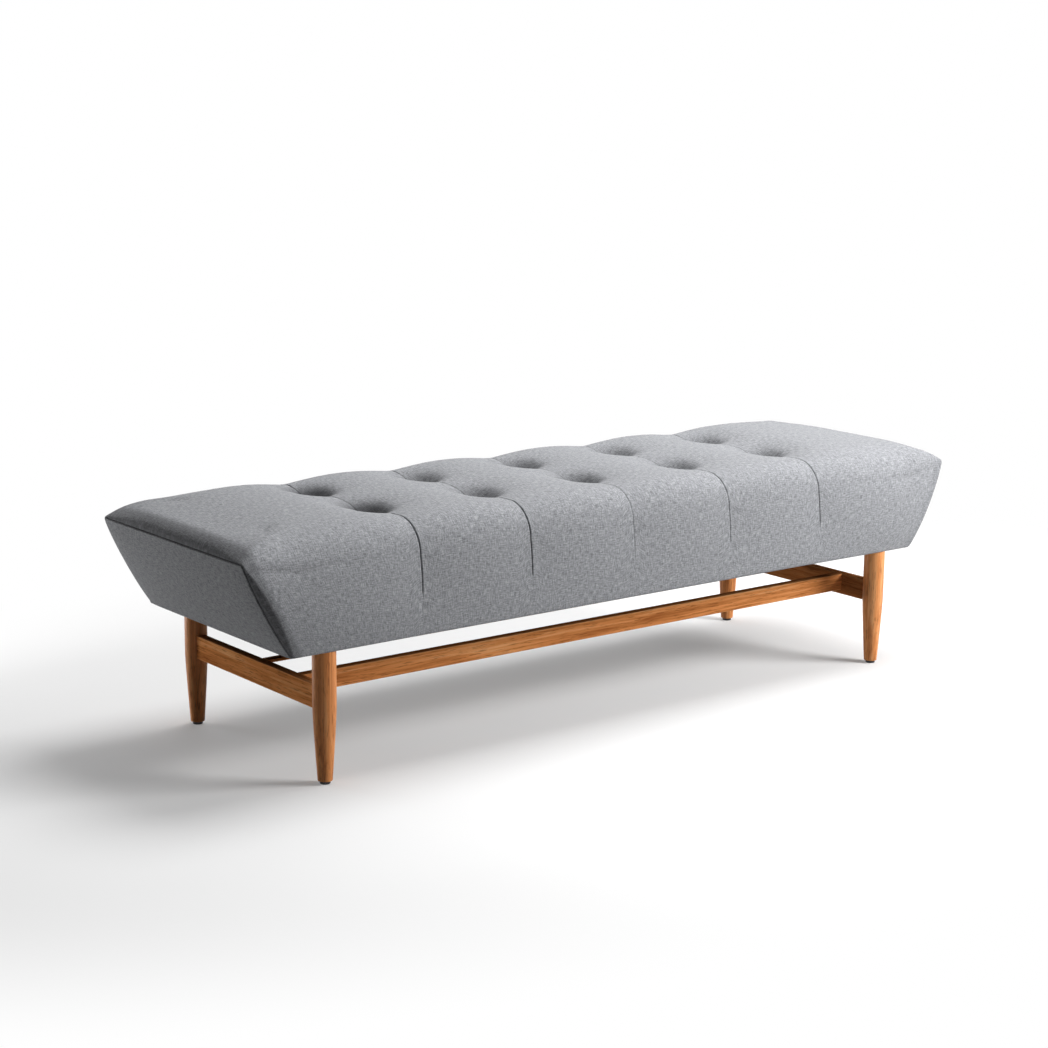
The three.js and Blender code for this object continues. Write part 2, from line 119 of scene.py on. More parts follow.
# Sewn channels and tufts
CHANNEL_PITCH = 0.230
CHANNELS = [CHANNEL_PITCH * number for number in (-2, -1, 0, 1, 2)]
CHANNEL_TOP_DEPTH = 0.0070
CHANNEL_TIGHTNESS = (1, 1, 0.4, 0.65, 0.8)
CHANNEL_SIDE_DEPTH = 0.0025
CHANNEL_END = UNDERSIDE + 0.070
CHANNEL_FADE_START = UNDERSIDE + 0.062
CHANNEL_FADE_RISE = 0.060
PILLOW_POWER = 0.8
TUFT_ROWS = (-0.088, 0.088)
TUFT_BOWL_DEPTH = 0.032
TUFT_BOWL_RADIUS = 0.0215
TUFT_BOWL_REACH_BACK = 0.028
TUFT_BOWL_POWER = 3.1
# Painted shade in the tufts' bowls, from this drop over this depth, with its strength for each channel,
# strongest at the left
TUFT_SHADE_START = 0.003
TUFT_SHADE_DEPTH = 0.011
TUFT_SHADES = (0.80, 0.37, 0.43, 0.29, 0.23)

# Seam stitching
SEAM_STEPS = (0, 0.0006, 0.0013, 0.0022, 0.0034)
SEAM_SHARE_BEHIND_TUFTS = 0.35
SEAM_GROOVE_DEPTH = 0.0020
SEAM_GROOVE_SPREAD = 0.0008
# The dark line along each channel seam, partly painted shade in its groove, spreads this far
SEAM_SHADE_SPREAD = 0.0004
SEAM_LIP_RISE = 0.0004
SEAM_LIP_OFFSET = 0.0024
SEAM_LIP_SPREAD = 0.0010
# Painted shade over the rolled ends beside the end seams, stronger at the left end than the right, fading
# between these distances
END_SHADE_LEFT = 0.42
END_SHADE_RIGHT = 0.12
END_SHADE_NEAR = 0.016
END_SHADE_FAR = 0.034

# Mesh spacing of the cover
GRID_STEP = 0.005
SIDE_STEPS = 28
EDGE_TURN_STEPS = 14
TOP_STEPS = 38
END_TURN_STEPS = 12
HEM_STEPS = 3

# Padding and how far it swells
SIDE_PADDING = 0.012
END_PADDING = 0.012
HOLLOW_TOP = 0.375
HOLLOW_CORNER = 0.0006
FIT_GAP = 0.0003
SLACK = 0.0015
PADDED_FROM_END = 0.04
PADDED_RISE = 0.15
HEM_FREE_RISE = 0.05
TUFT_FREE_SPREAD = 0.045
TUFT_LIMIT_SPREAD = 0.035
SEAM_PINNED = 0.0014
TUFT_PINNED = 0.036
END_PINNED = 0.0015
SWELL_LIMIT = 0.0045
SWELL_LEAST_SHARE = 0.02
SWELL_PRESSURE = 4.0
SWELL_FRAMES = 20
SWELL_QUALITY = 3

# End panels
PANEL_BULGE = 0.006
PANEL_ROLL_LENGTH = 0.050
PANEL_GAP = 0.0008
PANEL_SEAM_DEPTH = 0.0014
PANEL_WELT_RISE = 0.0006
PANEL_WELT_OFFSET = 0.0022
PANEL_WELT_SPREAD = 0.0011
PANEL_SEAM_SPREAD = 0.0008
PANEL_SEAM_SHADE_SPREAD = 0.0009
PANEL_HEM_DOME = 0.3
PANEL_HEM_TURN = 0.75 * SIDE_PADDING
PANEL_TOP = END_SEAM - PANEL_GAP
PANEL_LOW = UNDERSIDE - HEM_SAG + HEM_RADIUS
PANEL_BORDER_STEPS = (0, 0.0005, 0.0011, 0.0017, 0.0023, 0.0030, 0.0040, 0.0055, 0.0080, 0.012)
PANEL_BORDER_PINNED = 0.0035
PANEL_HEM_PINNED = 0.002
PANEL_BORDER_FREE_RISE = 0.04
PANEL_HEM_FREE_RISE = 0.03
PANEL_SWELL_LIMIT = 0.003

# Turned legs, stretchers, rail and slat
CORNERS = [f"{depth}_{side}" for depth in ("front", "back") for side in ("left", "right")]
LEG_RADIUS = 0.020
LEG_FOOT_RADIUS = 0.0125
LEG_TAPER_TOP = 0.130
LEG_TAPER_POWER = 1.2
LEG_TAPER_STEPS = 24
LEG_ROUNDING = 0.001
LEG_SIDES = 72
BOLT_BORE = 0.0043
NAIL_BORE = 0.0023
NAIL_BORE_DEPTH = 0.0143
BAR_ROUNDING = 0.0022
BAR_CORNER_STEPS = 4
BAR_STATIONS = 65
BAR_END_GAP = 0.0001
STRETCHER_IN_LEG = 0.0005
SLAT_TRIM = 0.001

# Glides
GLIDE_HEIGHT = 0.005
GLIDE_FLAT_SHARE = 0.6
GLIDE_ROUNDING = 0.0012
GLIDE_TOP_ROUNDING = 0.0005
GLIDE_SIDES = 48
NAIL_RADIUS = 0.002
NAIL_POINT = 0.003

# Foam and dust cover
FOAM_LONG_EDGE = 0.05
FOAM_EASING = 0.003
FOAM_WELD = 0.00001
DUST_NOTCH_MARGIN = 0.002
DUST_GRID_STEP = 0.012
DUST_SAG = 0.0002
DUST_THICKNESS = 0.0006


class Wire:
    """One number, colour or vector in a shader. Arithmetic on it adds Math nodes."""

    def __init__(self, tree, output):
        self.tree = tree
        self.output = output

    def maths(self, operation, *values):
        return self.tree.node("ShaderNodeMath", {"operation": operation}, dict(enumerate(values)))

    def __add__(self, other):
        return self.maths("ADD", self, other)

    def __sub__(self, other):
        return self.maths("SUBTRACT", self, other)

    def __rsub__(self, other):
        return self.maths("SUBTRACT", other, self)

    def __mul__(self, other):
        return self.maths("MULTIPLY", self, other)

    def __truediv__(self, other):
        return self.maths("DIVIDE", self, other)

    def __neg__(self):
        return self.maths("MULTIPLY", self, -1)

    def sine(self):
        return self.maths("SINE", self)

    def at_least(self, other):
        return self.maths("MAXIMUM", self, other)

    def at_most(self, other):
        return self.maths("MINIMUM", self, other)

    __radd__ = __add__
    __rmul__ = __mul__


class Finish:
    """A material's or the world's node tree, with one method for every kind of node."""

    def __init__(self, node_tree):
        self.nodes = node_tree.nodes
        self.links = node_tree.links
        self.nodes.clear()

    def node(self, kind, settings=None, sockets=None, output=0):
        made = self.nodes.new(kind)
        for name, value in (settings or {}).items():
            if name == "stops":
                self.set_stops(made.color_ramp, value)
            else:
                setattr(made, name, value)
        for name, value in (sockets or {}).items():
            if isinstance(value, Wire):
                self.links.new(value.output, made.inputs[name])
            else:
                made.inputs[name].default_value = value
        return Wire(self, made.outputs[output]) if len(made.outputs) else made

    @staticmethod
    def set_stops(ramp, stops):
        while len(ramp.elements) < len(stops):
            ramp.elements.new(1)
        for element, (place, tone) in zip(ramp.elements, stops):
            element.position = place
            element.color = (*tone, 1)

    def scaled(self, vector, factors):
        return self.node("ShaderNodeVectorMath", {"operation": "MULTIPLY"}, {0: vector, 1: factors})

    def noise(self, vector, scale, detail=2, roughness=0.5, distortion=0):
        return self.node("ShaderNodeTexNoise", None, {
            "Vector": vector, "Scale": scale, "Detail": detail,
            "Roughness": roughness, "Distortion": distortion,
        })

    def ramp(self, factor, stops):
        return self.node("ShaderNodeValToRGB", {"stops": stops}, {"Fac": factor})

    def rise(self, value, low, high):
        """0 below low and 1 above high, with a smooth rise between."""
        settings = {"interpolation_type": "SMOOTHSTEP"}
        return self.node("ShaderNodeMapRange", settings, {"Value": value, "From Min": low, "From Max": high})

    def mix(self, factor, first, second):
        settings = {"data_type": "RGBA"}
        return self.node("ShaderNodeMix", settings, {0: factor, 6: first, 7: second}, output=2)

    def attribute(self, name, output="Vector"):
        return self.node("ShaderNodeAttribute", {"attribute_name": name}, output=output)

    def place(self):
        return self.node("ShaderNodeTexCoord", output="Object")

    def part_of(self, vector, axis):
        return self.node("ShaderNodeSeparateXYZ", None, {"Vector": vector}, output=axis)

    def bump(self, height, strength, distance):
        return self.node("ShaderNodeBump", None, {
            "Height": height, "Strength": strength, "Distance": distance,
        })

    def surface(self, **sockets):
        named = {name.replace("_", " "): value for name, value in sockets.items()}
        shader = self.node("ShaderNodeBsdfPrincipled", None, named)
        self.node("ShaderNodeOutputMaterial", None, {"Surface": shader})


def colour(red, green, blue):
    return (red, green, blue, 1)


def new_finish(name):
    material = bpy.data.materials.new(name)
    material.use_nodes = True
    return material, Finish(material.node_tree)


# Cover fabric: a plain weave of light and dark heathered yarns with slubs
YARN_PITCH = 0.0013
YARN_WAVES = math.pi / YARN_PITCH
YARN_STREAK_ALONG = 85
YARN_STREAK_ACROSS = 560
YARN_CONTRAST = 1.7
# Colour of the seam lines and of the painted shade mixed into the cloth
SEAM_AND_PAINTED_SHADE_COLOUR = (0.022, 0.022, 0.025)
YARN_DARK = (0.149, 0.152, 0.161)
YARN_MID = (0.262, 0.268, 0.283)
YARN_LIGHT = (0.393, 0.399, 0.414)


def heather_fabric():
    material, finish = new_finish("heather_fabric")
    weave = finish.attribute("weave")
    warp = finish.noise(finish.scaled(weave, (YARN_STREAK_ACROSS, YARN_STREAK_ALONG, 1)), 1, 3, 0.7)
    weft = finish.noise(finish.scaled(weave, (YARN_STREAK_ALONG, YARN_STREAK_ACROSS, 1)), 1, 3, 0.7)
    yarn = 0.5 + YARN_CONTRAST * (warp - 0.5) + YARN_CONTRAST * (weft - 0.5)
    cloth = finish.ramp(yarn, [(0.12, YARN_DARK), (0.5, YARN_MID), (0.88, YARN_LIGHT)])
    # The seam attribute holds the dark seam lines, partly painted shade, and the painted shade in the tufts'
    # bowls and over the end seams
    seam = finish.attribute("seam", "Fac")
    shaded = finish.mix(seam, cloth, colour(*SEAM_AND_PAINTED_SHADE_COLOUR))
    over = (finish.part_of(weave, "X") * YARN_WAVES).sine()
    under = (finish.part_of(weave, "Y") * YARN_WAVES).sine()
    height = 0.5 * over * under + 1.2 * yarn
    finish.surface(
        Base_Color=shaded,
        Roughness=0.92,
        Normal=finish.bump(height, 0.35, 0.0006),
        Specular_IOR_Level=0.12,
        Sheen_Weight=0.12,
        Sheen_Roughness=0.5,
    )
    return material


# Oiled wood, with its grain along one axis
WALNUT = ((0.31, 0.090, 0.022), (0.69, 0.265, 0.085), (0.88, 0.47, 0.21))
PINE = ((0.50, 0.33, 0.16), (0.66, 0.47, 0.25), (0.74, 0.56, 0.34))
STREAK_STRETCH = (5, 150)
BOARD_STRETCH = (2, 28)
PORE_STRETCH = (40, 600)
PORE_DARKNESS = 0.5
# Painted shade on the bars' faces under the seat: how dark, and how much of it
PAINTED_SHADE_DARKNESS = 0.3
UNDER_SEAT_SHADE_SHARE = 0.55


def along_grain(axis, along, across):
    return tuple(along if letter == axis else across for letter in "XYZ")


def darker(tone, level):
    return colour(*(level * part for part in tone))


def faces_painted_in_shade(finish):
    """Painted shade mask: 1 on faces under the seat that look up or towards its middle, 0 on those that look
    out.
    """
    facing = finish.node("ShaderNodeNewGeometry", output="Normal")
    standing = finish.node("ShaderNodeNewGeometry", output="Position")
    stretcher_x = node_middle("end_stretcher_right").x
    inward = -finish.part_of(facing, "X") * finish.part_of(standing, "X") / stretcher_x
    return finish.rise(inward.at_least(finish.part_of(facing, "Z")), 0.5, 0.9)


def oiled_wood(name, axis, tones, roughness, gloss, shade_under_seat=0):
    dark, middle, light = tones
    material, finish = new_finish(name)
    place = finish.place()
    streaks = finish.noise(finish.scaled(place, along_grain(axis, *STREAK_STRETCH)), 1, 5, 0.62, 0.6)
    board = finish.noise(finish.scaled(place, along_grain(axis, *BOARD_STRETCH)), 1, 2)
    grain = finish.ramp(0.7 * streaks + 0.3 * board, [(0.30, dark), (0.52, middle), (0.72, light)])
    pores = finish.noise(finish.scaled(place, along_grain(axis, *PORE_STRETCH)), 1, 2, 0.5)
    pore = finish.rise(pores, 0.56, 0.68)
    grained = finish.mix(0.5 * pore, grain, darker(dark, PORE_DARKNESS))
    worn = finish.attribute("worn", "Fac")
    rubbed = finish.mix(0.35 * worn, grained, colour(*light))
    # Painted shade: the bars' tops and inner faces under the seat are darkened
    shade_painted_under_seat = finish.mix(shade_under_seat * faces_painted_in_shade(finish), rubbed, darker(dark, PAINTED_SHADE_DARKNESS))
    finish.surface(
        Base_Color=shade_painted_under_seat,
        Roughness=roughness + 0.14 * (streaks - 0.5) + 0.12 * pore,
        Normal=finish.bump(0.5 * streaks - 0.6 * pore, 0.25, 0.0004),
        Specular_IOR_Level=gloss,
        Coat_Weight=gloss,
        Coat_Roughness=0.3,
    )
    return material


def zinc_steel():
    material, finish = new_finish("zinc_steel")
    place = finish.place()
    spangle = finish.noise(place, 180, 3)
    scratches = finish.noise(finish.scaled(place, (60, 900, 900)), 1, 2)
    tone = finish.ramp(spangle, [(0.3, (0.42, 0.43, 0.45)), (0.7, (0.62, 0.63, 0.65))])
    finish.surface(
        Base_Color=tone,
        Roughness=0.32 + 0.2 * scratches,
        Metallic=1.0,
        Normal=finish.bump(scratches, 0.15, 0.0002),
    )
    return material


def waxed_twine():
    material, finish = new_finish("waxed_twine")
    place = finish.place()
    strands = finish.node("ShaderNodeTexWave", {"bands_direction": "DIAGONAL"}, {
        "Vector": place, "Scale": 420, "Distortion": 1.5, "Detail": 2,
    }, output="Fac")
    fuzz = finish.noise(place, 1600, 2)
    tone = finish.ramp(0.7 * strands + 0.3 * fuzz, [(0.2, (0.05, 0.05, 0.055)), (0.8, (0.17, 0.172, 0.18))])
    finish.surface(
        Base_Color=tone,
        Roughness=0.8,
        Normal=finish.bump(strands, 0.6, 0.0004),
        Specular_IOR_Level=0.2,
    )
    return material


def glide_plastic():
    material, finish = new_finish("glide_plastic")
    place = finish.place()
    moulding = finish.noise(place, 900, 2)
    scuffs = finish.rise(finish.noise(finish.scaled(place, (90, 90, 400)), 1, 3), 0.55, 0.72)
    tone = finish.mix(scuffs, colour(0.014, 0.013, 0.013), colour(0.045, 0.042, 0.04))
    finish.surface(
        Base_Color=tone,
        Roughness=0.42 + 0.3 * scuffs,
        Normal=finish.bump(moulding, 0.2, 0.0002),
    )
    return material


def dust_cloth():
    material, finish = new_finish("dust_cloth")
    place = finish.place()
    fibres = finish.noise(place, 1100, 3)
    dots = finish.node("ShaderNodeTexVoronoi", {"feature": "F1"}, {
        "Vector": place, "Scale": 420, "Randomness": 0.15,
    })
    bonded = 1 - finish.rise(dots, 0.2, 0.4)
    tone = finish.mix(0.5 * fibres + 0.3 * bonded, colour(0.012, 0.012, 0.013), colour(0.05, 0.05, 0.053))
    finish.surface(
        Base_Color=tone,
        Roughness=0.85 - 0.2 * bonded,
        Normal=finish.bump(fibres - bonded, 0.4, 0.0003),
        Specular_IOR_Level=0.2,
    )
    return material


def seat_foam():
    material, finish = new_finish("seat_foam")
    place = finish.place()
    cells = finish.node("ShaderNodeTexVoronoi", {"feature": "F1"}, {"Vector": place, "Scale": 900})
    tint = finish.noise(place, 12, 2)
    tone = finish.ramp(0.7 * cells + 0.3 * tint, [(0.1, (0.52, 0.45, 0.26)), (0.6, (0.74, 0.68, 0.44))])
    finish.surface(
        Base_Color=tone,
        Roughness=0.95,
        Normal=finish.bump(cells, 0.5, 0.0005),
        Specular_IOR_Level=0.1,
    )
    return material


# Camera, lamps, floor and surroundings
def add_camera():
    cosine, sine = math.cos(CAMERA_PITCH), math.sin(CAMERA_PITCH)
    ahead = Vector((math.sin(CAMERA_YAW) * cosine, math.cos(CAMERA_YAW) * cosine, -sine))
    level = Vector((math.cos(CAMERA_YAW), -math.sin(CAMERA_YAW), 0))
    upright = level.cross(ahead)
    right = math.cos(CAMERA_ROLL) * level + math.sin(CAMERA_ROLL) * upright
    up = math.cos(CAMERA_ROLL) * upright - math.sin(CAMERA_ROLL) * level
    camera = bpy.data.objects.new("camera", bpy.data.cameras.new("camera"))
    camera.data.lens = CAMERA_LENS
    camera.data.sensor_width = CAMERA_SENSOR
    camera.data.clip_end = CAMERA_REACH
    turn = Matrix((right, up, -ahead)).transposed().to_4x4()
    camera.matrix_world = Matrix.Translation(CAMERA_PLACE) @ turn
    bpy.context.scene.collection.objects.link(camera)
    bpy.context.scene.camera = camera


def add_lamp(name, place, aim, size, power):
    lamp = bpy.data.lights.new(name, "AREA")
    lamp.shape = "DISK"
    lamp.size = size
    lamp.energy = power
    piece = bpy.data.objects.new(name, lamp)
    piece.location = place
    piece.rotation_mode = "QUATERNION"
    piece.rotation_quaternion = (Vector(aim) - Vector(place)).to_track_quat("-Z", "Y")
    piece.visible_camera = False
    bpy.context.scene.collection.objects.link(piece)


def seen_ray(finish):
    """1 for what the camera sees, by itself or in a mirror or through glass, and 0 for light's bounces."""
    direct, glossy, through = [
        finish.node("ShaderNodeLightPath", output=name)
        for name in ("Is Camera Ray", "Is Glossy Ray", "Is Transmission Ray")
    ]
    return (direct + glossy + through).at_most(1)


def add_surroundings():
    world = bpy.data.worlds.new("studio")
    world.use_nodes = True
    bpy.context.scene.world = world
    finish = Finish(world.node_tree)
    ambient = finish.node("ShaderNodeBackground", None, {
        "Color": colour(*WORLD_COLOUR), "Strength": WORLD_LEVEL,
    })
    white = finish.node("ShaderNodeBackground", None, {"Color": colour(1, 1, 1), "Strength": 1})
    sky = finish.node("ShaderNodeMixShader", None, {0: seen_ray(finish), 1: ambient, 2: white})
    finish.node("ShaderNodeOutputWorld", None, {"Surface": sky})


def studio_floor():
    material, finish = new_finish("studio_floor")
    place = finish.place()
    oval = finish.scaled(place, (1, FLOOR_FADE_DEPTH, 1))
    distance = finish.node("ShaderNodeVectorMath", {"operation": "LENGTH"}, {0: oval}, output="Value")
    far = finish.rise(distance, FLOOR_FADE_START, FLOOR_FADE_END)
    seen = seen_ray(finish)
    paper = finish.noise(place, 3, 2)
    looked_at = (FLOOR_SEEN + FLOOR_MOTTLE * (paper - 0.5)) * (1 - far)
    level = FLOOR_BOUNCE + (looked_at - FLOOR_BOUNCE) * seen
    glow = seen * (FLOOR_LIFT + (1 - FLOOR_LIFT) * far)
    finish.surface(
        Base_Color=finish.node("ShaderNodeCombineColor", None, {0: level, 1: level, 2: level}),
        Roughness=0.9,
        Specular_IOR_Level=0.0,
        Emission_Color=finish.node("ShaderNodeCombineColor", None, {0: glow, 1: glow, 2: glow}),
        Emission_Strength=1.0,
    )
    return material


def add_floor():
    corners = [(x * FLOOR_HALF, y * FLOOR_HALF, 0) for x, y in ((-1, -1), (1, -1), (1, 1), (-1, 1))]
    floor = new_piece("floor", corners, [(0, 1, 2, 3)], studio_floor())


# Mesh helpers
def new_piece(name, points, faces, material, sharp=None):
    mesh = bpy.data.meshes.new(name)
    mesh.from_pydata([tuple(point) for point in points], [], faces)
    shaped = bmesh.new()
    shaped.from_mesh(mesh)
    bmesh.ops.recalc_face_normals(shaped, faces=shaped.faces)
    shaped.to_mesh(mesh)
    shaped.free()
    if sharp is not None:
        mesh.shade_smooth()
        mesh.set_sharp_from_angle(angle=math.radians(sharp))
    mesh.materials.append(material)
    piece = bpy.data.objects.new(name, mesh)
    bpy.context.scene.collection.objects.link(piece)
    return piece


def store(piece, name, values):
    """Keeps a number or a vector for each point of the mesh, for the material to read."""
    kind = "FLOAT" if np.ndim(values) == 1 else "FLOAT_VECTOR"
    layer = piece.data.attributes.new(name, kind, "POINT")
    layer.data.foreach_set("value" if kind == "FLOAT" else "vector", np.ravel(values).astype(np.float32))


def grid_faces(columns, rows):
    """Faces of a net of points that are numbered column by column."""
    faces = []
    for column in range(columns - 1):
        for row in range(rows - 1):
            corner = column * rows + row
            faces.append((corner, corner + 1, corner + rows + 1, corner + rows))
    return faces


def strip_faces(first_loop, second_loop, closed=False):
    """Faces between two runs of the same number of points."""
    pairs = list(zip(first_loop, second_loop))
    after = pairs[1:] + pairs[:1] if closed else pairs[1:]
    return [(a, b, d, c) for (a, b), (c, d) in zip(pairs, after)]


def evenly(start, end, steps):
    return np.linspace(start, end, steps + 1)


def filled_in(places, step):
    """The sorted places, with more set evenly in every gap wider than a step."""
    ordered = sorted(set(places))
    full = [ordered[0]]
    for low, high in zip(ordered, ordered[1:]):
        count = max(1, math.ceil((high - low) / step - 1e-6))
        full.extend(low + (high - low) * part / count for part in range(1, count + 1))
    return np.array(full)


def quarter_sine(share):
    return np.sin(np.clip(share, 0, 1) * math.pi / 2)


def smooth(share):
    share = np.clip(share, 0, 1)
    return share * share * (3 - 2 * share)


def rolled(share, power):
    """From 0, steeply at first, to a level 1: a quarter round at power 2, boxier above, flatter below."""
    return (1 - (1 - np.clip(share, 0, 1)) ** power) ** (1 / power)


def bowed(share):
    """0 at both edges of a padded face and 1 at its middle."""
    return np.maximum(np.sin(math.pi * np.clip(share, 0, 1)), 0) ** BOW_POWER


def bell(distance, spread):
    return np.exp(-(distance ** 2) / (2 * spread ** 2))


# Forms of the seat cover
def pillow(x):
    nearest = min(abs(x - channel) for channel in CHANNELS)
    return float(quarter_sine(nearest / (CHANNEL_PITCH / 2))) ** PILLOW_POWER


def nearest_tuft(x, y):
    return np.min([np.hypot(x - channel, y - row) for channel in CHANNELS for row in TUFT_ROWS], axis=0)


def tuft_drop(x, y):
    """How far the tufts pull the cover down. Each bowl is steep in front and falls more gently behind."""
    drop = np.zeros_like(y)
    for channel in CHANNELS:
        for row in TUFT_ROWS:
            distance = np.hypot(x - channel, y - row)
            behind = np.maximum(y - row, 0) / np.maximum(distance, 1e-6)
            radius = TUFT_BOWL_RADIUS + TUFT_BOWL_REACH_BACK * behind ** 2
            drop += TUFT_BOWL_DEPTH / (1 + (distance / radius) ** TUFT_BOWL_POWER)
    return drop


def top_height(x, y):
    from_end = HALF_TOP - abs(x)
    crown_share = quarter_sine(from_end / CROWN_RUN_LENGTH)
    at_corner = 1 - quarter_sine(from_end / CORNER_PINCH_LENGTH)
    at_corner = at_corner * (1 - quarter_sine((HALF_DEPTH - abs(y)) / CORNER_PINCH_DEPTH))
    roll = END_ROLL_RISE * rolled(from_end / END_ROLL_LENGTH, END_ROLL_POWER) * (1 - CORNER_PINCH * at_corner)
    crown = (CROWN_RISE - END_SEAM_RISE - END_ROLL_RISE) * crown_share
    across = CROSS_CROWN_DROP * crown_share * (y / HALF_DEPTH) ** 2
    channel = CHANNEL_TOP_DEPTH * (1 - pillow(x))
    return END_SEAM + roll + crown - across - channel - tuft_drop(x, y)


def side_depth(x, z, rise_share):
    from_end = HALF_TOP - abs(x)
    in_end_bay = quarter_sine((abs(x) - CHANNELS[-1]) / CHANNEL_PITCH)
    bow = SIDE_BOW * (SIDE_BOW_BETWEEN + (1 - SIDE_BOW_BETWEEN) * in_end_bay) * bowed(rise_share)
    roll = SEAM_DRAW_IN + bow
    roll_share = rolled(from_end * SIDE_ROLL_STEEPNESS / roll, SIDE_ROLL_POWER)
    fade = np.clip((z - CHANNEL_FADE_START) / CHANNEL_FADE_RISE, 0, 1)
    channel = CHANNEL_SIDE_DEPTH * (1 - pillow(x)) * fade
    return HALF_DEPTH + bow - roll * (1 - roll_share) - channel


def edge_radius(x, facing):
    """The turn from side to top. The back's is a little squarer than the front's."""
    blend = quarter_sine((HALF_TOP - abs(x)) / EDGE_BLEND_LENGTH)
    full = BACK_EDGE_RADIUS if facing > 0 else FRONT_EDGE_RADIUS
    return SEAM_CORNER_RADIUS + (full - SEAM_CORNER_RADIUS) * blend


def end_plane(z, inset):
    return HALF_TOP - END_SLOPE * (END_SEAM - z) - inset / SLOPE_COSINE


def end_bow(z):
    return END_BOW * bowed((z - UNDERSIDE) / END_SEAM_RISE)


def fuller_at_back(y):
    return np.where(y > 0, y * (1 + BACK_FULLNESS), y)


def half_section(x, facing):
    """Half a ring, from the hem up the side and over to the middle. It faces 1 back or -1 forward."""
    radius = float(edge_radius(x, facing))
    side = float(side_depth(x, END_SEAM, 1.0))
    edge_y = side - radius * (1 - np.cos(evenly(0, math.pi / 2, EDGE_TURN_STEPS)))
    edge_drop = radius * (1 - np.sin(evenly(0, math.pi / 2, EDGE_TURN_STEPS)))
    edge_z = top_height(x, facing * edge_y) - edge_drop
    side_low = UNDERSIDE - HEM_SAG + HEM_RADIUS
    side_z = evenly(side_low, edge_z[0], SIDE_STEPS)[:-1]
    side_y = side_depth(x, side_z, (side_z - UNDERSIDE) / (edge_z[0] - UNDERSIDE))
    hem_turn = evenly(0, math.pi / 2, HEM_STEPS)[:-1]
    hem_y = side_y[0] - HEM_RADIUS * (1 - np.sin(hem_turn))
    hem_z = side_low - HEM_RADIUS * np.cos(hem_turn)
    top_y = edge_y[-1] * (1 - evenly(0, 1, TOP_STEPS)[1:])
    land_y = HALF_DEPTH - SIDE_PADDING + HEM_LAND
    depth = np.concatenate([[land_y], hem_y, side_y, edge_y, top_y])
    height = np.concatenate([[UNDERSIDE], hem_z, side_z, edge_z, top_height(x, facing * top_y)])
    return facing * depth, height


def cover_ring(x):
    back_y, back_z = half_section(x, 1)
    front_y, front_z = half_section(x, -1)
    y = np.concatenate([back_y, front_y[-2::-1]])
    z = np.concatenate([back_z, front_z[-2::-1]])
    lean_share = np.clip((abs(x) - CHANNELS[-1]) / (HALF_TOP - CHANNELS[-1]), 0, 1)
    lean = lean_share * (END_SLOPE * np.maximum(0, END_SEAM - z) - end_bow(z))
    return np.column_stack([x - np.sign(x) * lean, fuller_at_back(y), z])


def cover_places():
    """Where rings lie along the seat: close together at the channel seams and where the ends roll over."""
    places = [channel + sign * step for channel in CHANNELS for step in SEAM_STEPS for sign in (-1, 1)]
    for turn in evenly(0, math.pi / 2, END_TURN_STEPS):
        place = HALF_TOP - END_ROLL_LENGTH * (1 - math.cos(turn))
        places.extend([place, -place])
    return filled_in(np.round(places, 6), GRID_STEP)


def net_normals(net):
    """Outward directions of a net of points, from its neighbours along and across."""
    along = np.gradient(net, axis=0)
    across = np.gradient(net, axis=1)
    normals = np.cross(across, along)
    return normals / np.maximum(np.linalg.norm(normals, axis=2, keepdims=True), 1e-12)


def of_nearest_channel(places, values):
    """At each place along the seat, the value that belongs to the nearest channel, as a column."""
    nearest = np.argmin([abs(places - channel) for channel in CHANNELS], axis=0)
    return np.array(values)[nearest][:, None]


def seam_reach(net):
    """1 where a channel is sewn: over the top and down each side to the seam's end."""
    return (net[:, :, 2] > CHANNEL_END).astype(float)


def swollen(net, pinned, outward, limit):
    """The net as padding fills it: held at its seams and pushed out, no point by more than its limit."""
    columns, rows = net.shape[:2]
    skin = new_piece("swelling", net.reshape(-1, 3), grid_faces(columns, rows), None)
    held = skin.vertex_groups.new(name="sewn")
    held.add(np.flatnonzero(pinned.ravel()).tolist(), 1.0, "REPLACE")
    facing = np.array([face.normal for face in skin.data.polygons])
    if np.sum(facing * outward[:-1, :-1].reshape(-1, 3)) < 0:
        skin.data.flip_normals()
    cloth = skin.modifiers.new("padding", "CLOTH")
    cloth.point_cache.frame_start = 1
    cloth.point_cache.frame_end = SWELL_FRAMES
    settings = cloth.settings
    settings.vertex_group_mass = "sewn"
    settings.use_pressure = True
    settings.uniform_pressure_force = SWELL_PRESSURE
    settings.quality = SWELL_QUALITY
    settings.effector_weights.gravity = 0
    scene = bpy.context.scene
    for number in range(1, SWELL_FRAMES + 1):
        scene.frame_set(number)
    shaped = skin.evaluated_get(bpy.context.evaluated_depsgraph_get()).to_mesh()
    after = np.empty(columns * rows * 3)
    shaped.vertices.foreach_get("co", after)
    scene.frame_set(1)
    bpy.data.objects.remove(skin)
    moved = after.reshape(net.shape) - net
    far = np.maximum(np.linalg.norm(moved, axis=2), 1e-9)
    kept = np.tanh(far / limit) * limit / far
    return net + moved * kept[:, :, None]


def weave_places(places, net):
    """Where each point lies in the flat cloth: along the seat, and round it from the middle of the top."""
    rows = net.shape[1]
    steps = np.linalg.norm(np.diff(net, axis=1), axis=2)
    round_seat = np.concatenate([np.zeros((len(places), 1)), np.cumsum(steps, axis=1)], axis=1)
    round_seat -= round_seat[:, rows // 2][:, None]
    along_seat = np.repeat(places[:, None], rows, axis=1)
    return np.stack([along_seat, round_seat, 0 * round_seat], axis=2).reshape(-1, 3)


